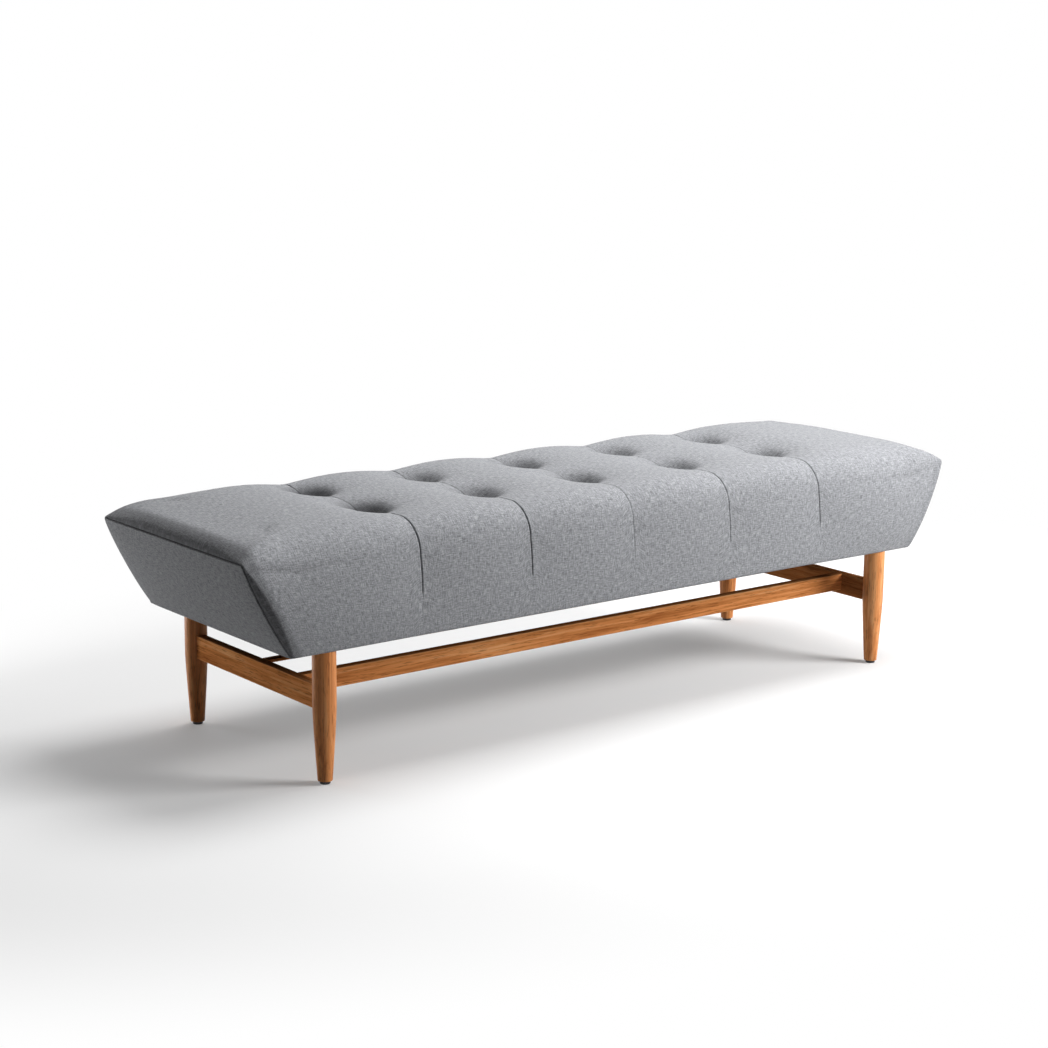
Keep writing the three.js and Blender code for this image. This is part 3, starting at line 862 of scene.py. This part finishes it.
def cover_layout(places, net):
    """How far each point of the cover is from what holds it, and whether it is on a seam's run or on top."""
    along_seat = np.repeat(places[:, None], net.shape[1], axis=1)
    between_edges = abs(net[:, :, 1]) < HALF_DEPTH - FRONT_EDGE_RADIUS
    return SimpleNamespace(
        from_channel=np.min([abs(places - channel) for channel in CHANNELS], axis=0)[:, None],
        from_end=(HALF_TOP - abs(places))[:, None],
        from_tuft=nearest_tuft(along_seat, net[:, :, 1]),
        sewn=seam_reach(net),
        on_top=between_edges & (net[:, :, 2] > END_SEAM - ON_TOP_DROP),
    )


def filled_cover(places, net, layout):
    """The cover drawn in a little and then swollen between its seams, hems and tufts."""
    pillows = np.array([pillow(x) for x in places])[:, None]
    inland = quarter_sine((layout.from_end - PADDED_FROM_END) / PADDED_RISE) ** 2
    room = (pillows ** 0.5 * layout.sewn + (1 - layout.sewn)) * inland
    room = room * quarter_sine((net[:, :, 2] - UNDERSIDE - HEM_RADIUS) / HEM_FREE_RISE)
    room = room * (1 - bell(layout.from_tuft, TUFT_FREE_SPREAD))
    outward = net_normals(net)
    slim = net - SLACK * room[:, :, None] * outward

    hem = np.zeros(net.shape[:2], bool)
    hem[:, : HEM_STEPS + 2] = True
    hem[:, -HEM_STEPS - 2:] = True
    at_seam = (layout.from_channel < SEAM_PINNED) & (layout.sewn > 0)
    at_tuft = (layout.from_tuft < TUFT_PINNED) & layout.on_top
    pinned = hem | (layout.from_end < END_PINNED) | at_seam | at_tuft
    free = inland * (1 - bell(layout.from_tuft, TUFT_LIMIT_SPREAD))
    limit = SWELL_LIMIT * (SWELL_LEAST_SHARE + (1 - SWELL_LEAST_SHARE) * free)
    return swollen(slim, pinned, outward, limit)


def seam_tightness(places, net, layout):
    """How tightly each point's seam is sewn, from 0 off the seams' run to 1."""
    behind_front_tufts = layout.on_top & (net[:, :, 1] > TUFT_ROWS[0] - TUFT_BOWL_RADIUS)
    share = np.where(behind_front_tufts, SEAM_SHARE_BEHIND_TUFTS, 1.0)
    return layout.sewn * share * of_nearest_channel(places, CHANNEL_TIGHTNESS)


def stitched(net, layout, tightness):
    """The cover with a groove along each channel seam and a small lip beside it."""
    groove = SEAM_GROOVE_DEPTH * bell(layout.from_channel, SEAM_GROOVE_SPREAD)
    lip = SEAM_LIP_RISE * bell(layout.from_channel - SEAM_LIP_OFFSET, SEAM_LIP_SPREAD)
    return net + ((lip - groove) * tightness)[:, :, None] * net_normals(net)


def cover_painted_shade(places, net, layout, tightness):
    """Painted shade in the cloth's colour: along the seams with their dark line, in the tufts' bowls, most in
    the leftmost, and over the end seams, most at the left end.
    """
    drops = np.array([tuft_drop(x, ring) for x, ring in zip(places, net[:, :, 1])])
    painted_bowl_shade = np.clip((drops - TUFT_SHADE_START) / TUFT_SHADE_DEPTH, 0, 1) * layout.on_top
    painted_bowl_shade = painted_bowl_shade * of_nearest_channel(places, TUFT_SHADES)
    at_end = 1 - smooth((layout.from_end - END_SHADE_NEAR) / (END_SHADE_FAR - END_SHADE_NEAR))
    at_end = at_end * np.where(places < 0, END_SHADE_LEFT, END_SHADE_RIGHT)[:, None]
    return np.clip(tightness * bell(layout.from_channel, SEAM_SHADE_SPREAD) + painted_bowl_shade + at_end, 0, 1)


def lined(net, weave, shade):
    """Points, faces, weave and shade of the net with a fold at each end and a lining inside."""
    columns, rows = net.shape[:2]
    points = list(net.reshape(-1, 3))
    faces = grid_faces(columns, rows)
    weave = list(weave)
    shades = list(shade.ravel())
    inner_loops = []
    for column, side in ((0, -1), (columns - 1, 1)):
        edge = [column * rows + row for row in range(rows)]
        fold = net[column] - np.array([side * END_FOLD, 0, 0])
        fold[:, 1] *= 1 - FIT_GAP / HALF_DEPTH
        loop = edge
        for ring, ring_shade in ((fold, 1.0), (hollow_ring(side), 0.0)):
            fresh = [len(points) + row for row in range(rows)]
            points.extend(ring)
            weave.extend(weave[corner] for corner in edge)
            shades.extend([ring_shade] * rows)
            faces.extend(strip_faces(loop, fresh))
            loop = fresh
        inner_loops.append(loop)
    left_inner, right_inner = inner_loops
    faces.extend(strip_faces(left_inner, right_inner))
    for row in (0, rows - 1):
        outer = [column * rows + row for column in range(columns)]
        left_fold = columns * rows + row
        right_fold = columns * rows + 2 * rows + row
        faces.append((left_inner[row], left_fold, *outer, right_fold, right_inner[row]))
    return points, faces, weave, shades


def build_cover(fabric):
    places = cover_places()
    net = np.array([cover_ring(x) for x in places])
    weave = weave_places(places, net)
    layout = cover_layout(places, net)
    net = filled_cover(places, net, layout)
    tightness = seam_tightness(places, net, layout)
    net = stitched(net, layout, tightness)
    shade = cover_painted_shade(places, net, layout, tightness)
    points, faces, weave, shade = lined(net, weave, shade)
    cover = new_piece("cover_fabric", points, faces, fabric, sharp=50)
    store(cover, "weave", np.array(weave))
    # Painted shade in the seam attribute: seam lines, tufts' bowls and end seams
    store(cover, "seam", np.array(shade))
    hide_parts("seat_cover")
    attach(cover, "root")


def hollow_ring(side):
    """The ring where the padding ends inside the seat, with as many points as the rings outside."""
    half = HALF_DEPTH - SIDE_PADDING
    hem = np.full(HEM_STEPS + 1, UNDERSIDE)
    side_z = evenly(UNDERSIDE, HOLLOW_TOP - HOLLOW_CORNER, SIDE_STEPS)[:-1]
    turn = evenly(0, math.pi / 2, EDGE_TURN_STEPS)
    edge_y = half - HOLLOW_CORNER * (1 - np.cos(turn))
    edge_z = HOLLOW_TOP - HOLLOW_CORNER * (1 - np.sin(turn))
    top_y = edge_y[-1] * (1 - evenly(0, 1, TOP_STEPS)[1:])
    depth = np.concatenate([np.full(len(hem) + len(side_z), half), edge_y, top_y])
    height = np.concatenate([hem, side_z, edge_z, np.full(len(top_y), HOLLOW_TOP)])
    y = np.concatenate([depth, -depth[-2::-1]])
    z = np.concatenate([height, height[-2::-1]])
    return np.column_stack([side * end_plane(z, END_PADDING), y, z])


# End panels
def panel_half_width(z):
    share = (z - UNDERSIDE) / END_SEAM_RISE
    width = side_depth(HALF_TOP, z, np.clip(share, 0, 1)) - PANEL_GAP
    into_corner = np.clip((z - (END_SEAM - SEAM_CORNER_RADIUS)) / SEAM_CORNER_RADIUS, 0, 1)
    return width - SEAM_CORNER_RADIUS * (1 - np.sqrt(1 - into_corner ** 2))


def panel_net(side):
    """The panel's outer face, domed a little, and how far each point is from its sewn border."""
    heights = filled_in([PANEL_TOP - step for step in PANEL_BORDER_STEPS] + [PANEL_LOW], GRID_STEP)
    middle_width = HALF_DEPTH - PANEL_GAP
    border_shares = [1 - step / middle_width for step in PANEL_BORDER_STEPS]
    across = filled_in(border_shares + [-share for share in border_shares], GRID_STEP / middle_width)
    z = np.repeat(heights[:, None], len(across), axis=1)
    width = panel_half_width(z)
    y = across[None, :] * width
    from_side = width - abs(y)
    from_top = PANEL_TOP - z
    dome = PANEL_BULGE * rolled(from_side / PANEL_ROLL_LENGTH, 2) * rolled(from_top / PANEL_ROLL_LENGTH, 2)
    dome = dome * (PANEL_HEM_DOME + (1 - PANEL_HEM_DOME) * quarter_sine((z - UNDERSIDE) / PANEL_ROLL_LENGTH))
    x = side * (end_plane(z, 0) + end_bow(z) + dome / SLOPE_COSINE)
    return np.stack([x, fuller_at_back(y), z], axis=2), np.minimum(from_side, from_top)


def filled_panel(net, from_border, outward):
    """The panel drawn in a little and then swollen between its border and its hem."""
    z = net[:, :, 2]
    pinned = (from_border < PANEL_BORDER_PINNED) | (z < PANEL_LOW + PANEL_HEM_PINNED)
    slack = SLACK * quarter_sine(from_border / PANEL_BORDER_FREE_RISE)
    slack = slack * quarter_sine((z - PANEL_LOW) / PANEL_HEM_FREE_RISE)
    slim = net - outward * slack[:, :, None]
    return swollen(slim, pinned, outward, np.full(pinned.shape, PANEL_SWELL_LIMIT))


def welted(net, from_border, outward):
    """The panel with its seam sunk along the border and a low welt beside it."""
    sunk = PANEL_SEAM_DEPTH * bell(from_border, PANEL_SEAM_SPREAD)
    welt = PANEL_WELT_RISE * bell(from_border - PANEL_WELT_OFFSET, PANEL_WELT_SPREAD)
    return net + outward * (welt - sunk)[:, :, None]


def hemmed(side, net):
    """The panel with rows added at the bottom, where its hem turns under the seat."""
    turns = [(PANEL_HEM_TURN, HEM_RADIUS)]
    for turn in evenly(0, math.pi / 2, HEM_STEPS)[:-1]:
        turns.append((HEM_RADIUS * (1 - math.sin(turn)), HEM_RADIUS * math.cos(turn)))
    hem_rows = []
    for inset, drop in turns:
        row = net[0].copy()
        row[:, 0] -= side * inset
        row[:, 2] -= drop
        hem_rows.append(row)
    return np.concatenate([np.array(hem_rows), net])


def panel_weave(net):
    """Where each point lies in the flat cloth: across the panel and up its slope."""
    rows, count = net.shape[:2]
    steps = np.linalg.norm(np.diff(net[:, count // 2], axis=0), axis=1)
    slope_run = np.concatenate([[0], np.cumsum(steps)])
    up_slope = np.repeat(slope_run[:, None], count, axis=1)
    return np.stack([net[:, :, 1], up_slope, 0 * up_slope], axis=2).reshape(-1, 3)


def border_of(rows, count):
    """Numbers of the points once round the edge of a net."""
    first_side = [row * count for row in range(rows)]
    top = [(rows - 1) * count + place for place in range(1, count)]
    second_side = [row * count + count - 1 for row in range(rows - 2, -1, -1)]
    bottom = list(range(count - 2, 0, -1))
    return first_side + top + second_side + bottom


def behind_panel(side, point):
    """Where the padding's inner face lies behind a point of the panel's border."""
    _, y, z = point
    inner_z = UNDERSIDE + (z - UNDERSIDE) * (HOLLOW_TOP - FIT_GAP - UNDERSIDE) / (PANEL_TOP - UNDERSIDE)
    width = float(panel_half_width(np.array(max(z, PANEL_LOW))))
    inner_y = np.clip(y / width, -1, 1) * (HALF_DEPTH - SIDE_PADDING - FIT_GAP)
    return side * end_plane(inner_z, END_PADDING), inner_y, inner_z


def build_end_panel(side, name, fabric):
    net, from_border = panel_net(side)
    outward = np.zeros_like(net) + np.array([side * SLOPE_COSINE, 0, -END_SLOPE * SLOPE_COSINE])
    net = welted(filled_panel(net, from_border, outward), from_border, outward)
    face = hemmed(side, net)
    rows, count = face.shape[:2]
    # Dark seam line along the border, partly painted shade in the sunk seam
    shade = np.concatenate([np.zeros((rows - len(net), count)), bell(from_border, PANEL_SEAM_SHADE_SPREAD)])
    weave = panel_weave(face)

    points = list(face.reshape(-1, 3))
    border = border_of(rows, count)
    inner = [len(points) + place for place in range(len(border))]
    points.extend([behind_panel(side, points[corner]) for corner in border])
    faces = grid_faces(rows, count) + strip_faces(border, inner, closed=True) + [tuple(inner)]
    panel = new_piece(name, points, faces, fabric, sharp=50)
    store(panel, "weave", np.concatenate([weave, weave[border]]))
    store(panel, "seam", np.concatenate([shade.ravel(), np.zeros(len(border))]))
    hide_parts(name.replace("fabric_end", "end_panel"))
    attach(panel, "root")


# Turned and sawn wood
def turned(name, profile, sides, centre, material):
    """A solid of revolution from radius and height pairs that begin and end on the axis."""
    turns = np.arange(sides) * 2 * math.pi / sides
    points = []
    loops = []
    for radius, height in profile:
        if radius == 0:
            loops.append([len(points)] * sides)
            points.append((centre.x, centre.y, height))
        else:
            loops.append(list(range(len(points), len(points) + sides)))
            points.extend(
                (centre.x + radius * math.cos(turn), centre.y + radius * math.sin(turn), height)
                for turn in turns
            )
    faces = []
    for first, second in zip(loops, loops[1:]):
        for face in strip_faces(first, second, closed=True):
            faces.append(tuple(dict.fromkeys(face)))
    return new_piece(name, points, faces, material, sharp=40)


def rounding(radius, centre, from_turn, to_turn, steps=4):
    """Points of a rounded edge about its centre, as pairs."""
    return [
        (centre[0] + radius * math.cos(turn), centre[1] + radius * math.sin(turn))
        for turn in evenly(from_turn, to_turn, steps)
    ]


def node_middle(name):
    low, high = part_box(name)
    return (low + high) / 2


def build_leg(corner, wood):
    node = f"leg_{corner}"
    low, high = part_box(node)
    bolt_low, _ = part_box(f"hanger_bolt_{corner}")
    rim = LEG_ROUNDING
    profile = [(0, low.z + NAIL_BORE_DEPTH), (NAIL_BORE, low.z + NAIL_BORE_DEPTH), (NAIL_BORE, low.z)]
    profile += rounding(rim, (LEG_FOOT_RADIUS - rim, low.z + rim), -math.pi / 2, 0)
    for share in evenly(0, 1, LEG_TAPER_STEPS)[1:]:
        radius = LEG_RADIUS - (LEG_RADIUS - LEG_FOOT_RADIUS) * (1 - share) ** LEG_TAPER_POWER
        profile.append((radius, low.z + rim + share * (LEG_TAPER_TOP - low.z - rim)))
    profile += rounding(rim, (LEG_RADIUS - rim, high.z - rim), 0, math.pi / 2)
    profile += [(BOLT_BORE, high.z), (BOLT_BORE, bolt_low.z - FIT_GAP), (0, bolt_low.z - FIT_GAP)]
    leg = turned(f"turned_leg_{corner}", profile, LEG_SIDES, (low + high) / 2, wood)
    store(leg, "worn", [0.0] * len(leg.data.vertices))
    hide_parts(node)
    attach(leg, "root")


def build_glide(corner, plastic):
    node = f"foot_glide_{corner}"
    low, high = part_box(node)
    radius = (high.x - low.x) / 2
    rim = GLIDE_ROUNDING
    top_rim = GLIDE_TOP_ROUNDING
    profile = [(0, low.z), (radius * GLIDE_FLAT_SHARE, low.z)]
    profile += rounding(rim, (radius - rim, low.z + rim), -math.pi / 2, 0)
    profile += rounding(top_rim, (radius - top_rim, GLIDE_HEIGHT - top_rim), 0, math.pi / 2)
    profile += [(NAIL_RADIUS, GLIDE_HEIGHT), (NAIL_RADIUS, high.z - NAIL_POINT), (0, high.z)]
    glide = turned(f"moulded_glide_{corner}", profile, GLIDE_SIDES, (low + high) / 2, plastic)
    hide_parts(node)
    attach(glide, "root")


def rounded_outline(width, height):
    """Points once round a bar's section."""
    outline = []
    for quarter, (side, level) in enumerate(((1, 1), (-1, 1), (-1, -1), (1, -1))):
        centre = (side * (width / 2 - BAR_ROUNDING), level * (height / 2 - BAR_ROUNDING))
        start = quarter * math.pi / 2
        outline += rounding(BAR_ROUNDING, centre, start, start + math.pi / 2, BAR_CORNER_STEPS)
    return outline


def sawn_bar(name, outline, axis, run_ends, wood):
    """A bar along X or Y, its edges rubbed lighter. run_ends gives its two ends at a place across it."""
    stations = evenly(0, 1, BAR_STATIONS)
    points = []
    for station in stations:
        for across, height in outline:
            start, end = run_ends(across)
            run = start + (end - start) * station
            points.append((run, across, height) if axis == "X" else (across, run, height))
    count = len(outline)
    faces = []
    for number in range(BAR_STATIONS):
        first = range(number * count, (number + 1) * count)
        faces.extend(strip_faces(first, [corner + count for corner in first], closed=True))
    faces.append(tuple(range(count)))
    faces.append(tuple(range(BAR_STATIONS * count, (BAR_STATIONS + 1) * count)))
    bar = new_piece(name, points, faces, wood, sharp=40)
    on_edge = [corner % (BAR_CORNER_STEPS + 1) not in (0, BAR_CORNER_STEPS) for corner in range(count)]
    store(bar, "worn", np.array(on_edge * len(stations), float))
    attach(bar, "root")
    return bar


def build_stretcher(side, wood):
    node = f"end_stretcher_{side}"
    low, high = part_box(node)
    leg = node_middle(f"leg_front_{side}")
    middle_z = (low.z + high.z) / 2
    outline = [(leg.x + x, middle_z + z) for x, z in rounded_outline(high.x - low.x, high.z - low.z)]

    def run_ends(across):
        reach = abs(leg.y) - math.sqrt(LEG_RADIUS ** 2 - (across - leg.x) ** 2) + STRETCHER_IN_LEG
        return -reach, reach

    bar = sawn_bar(f"sawn_stretcher_{side}", outline, "Y", run_ends, wood)
    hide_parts(node)


def build_long_bar(node, name, wood, trim):
    low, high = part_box(node)
    stretcher_low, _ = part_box("end_stretcher_right")
    reach = stretcher_low.x - BAR_END_GAP
    middle_y = (low.y + high.y) / 2
    middle_z = (low.z + high.z + trim) / 2
    outline = [
        (middle_y + y, middle_z + z)
        for y, z in rounded_outline(high.y - low.y, high.z - low.z - trim)
    ]
    bar = sawn_bar(name, outline, "X", lambda across: (-reach, reach), wood)
    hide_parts(node)


# Hidden soft pieces
def build_foam(foam):
    """The foam core with its long edges eased, as it sits under the cover."""
    core = bpy.data.objects.new("foam_block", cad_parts["foam_core"].data.copy())
    bpy.context.scene.collection.objects.link(core)
    shaped = bmesh.new()
    shaped.from_mesh(core.data)
    bmesh.ops.remove_doubles(shaped, verts=shaped.verts, dist=FOAM_WELD)
    bmesh.ops.dissolve_limit(shaped, angle_limit=math.radians(1), verts=shaped.verts, edges=shaped.edges)
    whole_edges = [edge for edge in shaped.edges if len(edge.link_faces) == 2]
    long_edges = [edge for edge in whole_edges if edge.calc_length() > FOAM_LONG_EDGE]
    bmesh.ops.bevel(shaped, geom=long_edges, offset=FOAM_EASING, segments=3, affect="EDGES", profile=0.6)
    shaped.to_mesh(core.data)
    shaped.free()
    core.data.materials.clear()
    core.data.materials.append(foam)
    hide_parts("foam_core")
    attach(core, "root")


def in_notch(x, y, notches):
    margin = DUST_NOTCH_MARGIN
    return any(
        low.x - margin < x < high.x + margin and low.y - margin < y < high.y + margin
        for low, high in notches
    )


def dust_cover_lines(low, high, notches):
    """Where the sheet's mesh lines run, along both sides of every notch and evenly between."""
    margin = DUST_NOTCH_MARGIN
    xs = [low.x, high.x]
    ys = [low.y, high.y]
    for plate_low, plate_high in notches:
        xs.extend([plate_low.x - margin, plate_high.x + margin])
        ys.extend([max(low.y, plate_low.y - margin), min(high.y, plate_high.y + margin)])
    return filled_in(np.round(xs, 6), DUST_GRID_STEP), filled_in(np.round(ys, 6), DUST_GRID_STEP)


def build_dust_cover(cloth):
    low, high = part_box("dust_cover")
    notches = [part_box(f"leg_plate_{corner}") for corner in CORNERS]
    xs, ys = dust_cover_lines(low, high, notches)
    length, depth = high.x - low.x, high.y - low.y
    points = []
    for x in xs:
        for y in ys:
            sag = DUST_SAG * math.cos(math.pi * y / depth) * math.cos(math.pi * x / length)
            points.append((x, y, (low.z + high.z) / 2 - sag))

    faces = []
    rows = len(ys)
    for column, (x, next_x) in enumerate(zip(xs, xs[1:])):
        for row, (y, next_y) in enumerate(zip(ys, ys[1:])):
            if not in_notch((x + next_x) / 2, (y + next_y) / 2, notches):
                start = column * rows + row
                faces.append((start, start + 1, start + rows + 1, start + rows))
    sheet = new_piece("dust_sheet", points, faces, cloth, sharp=40)
    loose = bmesh.new()
    loose.from_mesh(sheet.data)
    bmesh.ops.delete(loose, geom=[vert for vert in loose.verts if not vert.link_faces], context="VERTS")
    loose.to_mesh(sheet.data)
    loose.free()
    thickness = sheet.modifiers.new("thickness", "SOLIDIFY")
    thickness.thickness = DUST_THICKNESS
    thickness.offset = 0
    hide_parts("dust_cover")
    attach(sheet, "root")


def refinish(prefixes, material):
    """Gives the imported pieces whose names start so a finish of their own."""
    for name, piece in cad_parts.items():
        if name.startswith(tuple(prefixes)):
            piece.data.materials.clear()
            piece.data.materials.append(material)


def main():
    add_camera()
    for name, (place, aim, size, power) in LAMPS.items():
        add_lamp(name, place, aim, size, power)
    add_surroundings()
    add_floor()
    bpy.context.scene.view_settings.view_transform = "Standard"

    fabric = heather_fabric()
    build_cover(fabric)
    build_end_panel(-1, "fabric_end_left", fabric)
    build_end_panel(1, "fabric_end_right", fabric)

    upright_walnut = oiled_wood("walnut_upright", "Z", WALNUT, 0.40, gloss=0.12)
    # Stretchers, rail and slat get painted shade on their faces under the seat
    cross_walnut = oiled_wood("walnut_across", "Y", WALNUT, 0.48, gloss=0, shade_under_seat=UNDER_SEAT_SHADE_SHARE)
    long_walnut = oiled_wood("walnut_along", "X", WALNUT, 0.48, gloss=0, shade_under_seat=UNDER_SEAT_SHADE_SHARE)
    plastic = glide_plastic()
    for corner in CORNERS:
        build_leg(corner, upright_walnut)
        build_glide(corner, plastic)
    for side in ("left", "right"):
        build_stretcher(side, cross_walnut)
    build_long_bar("front_rail", "sawn_front_rail", long_walnut, trim=0)
    build_long_bar("centre_slat", "sawn_centre_slat", long_walnut, trim=SLAT_TRIM)

    build_foam(seat_foam())
    build_dust_cover(dust_cloth())
    pine_along = oiled_wood("pine_along", "X", PINE, 0.7, gloss=0.1)
    refinish(["frame_rail", "deck_board"], pine_along)
    pine_across = oiled_wood("pine_across", "Y", PINE, 0.7, gloss=0.1)
    refinish(["end_board", "corner_block", "cross_brace"], pine_across)
    refinish(["leg_plate", "hanger_bolt", "tie_washer"], zinc_steel())
    refinish(["tuft_tie"], waxed_twine())


main()
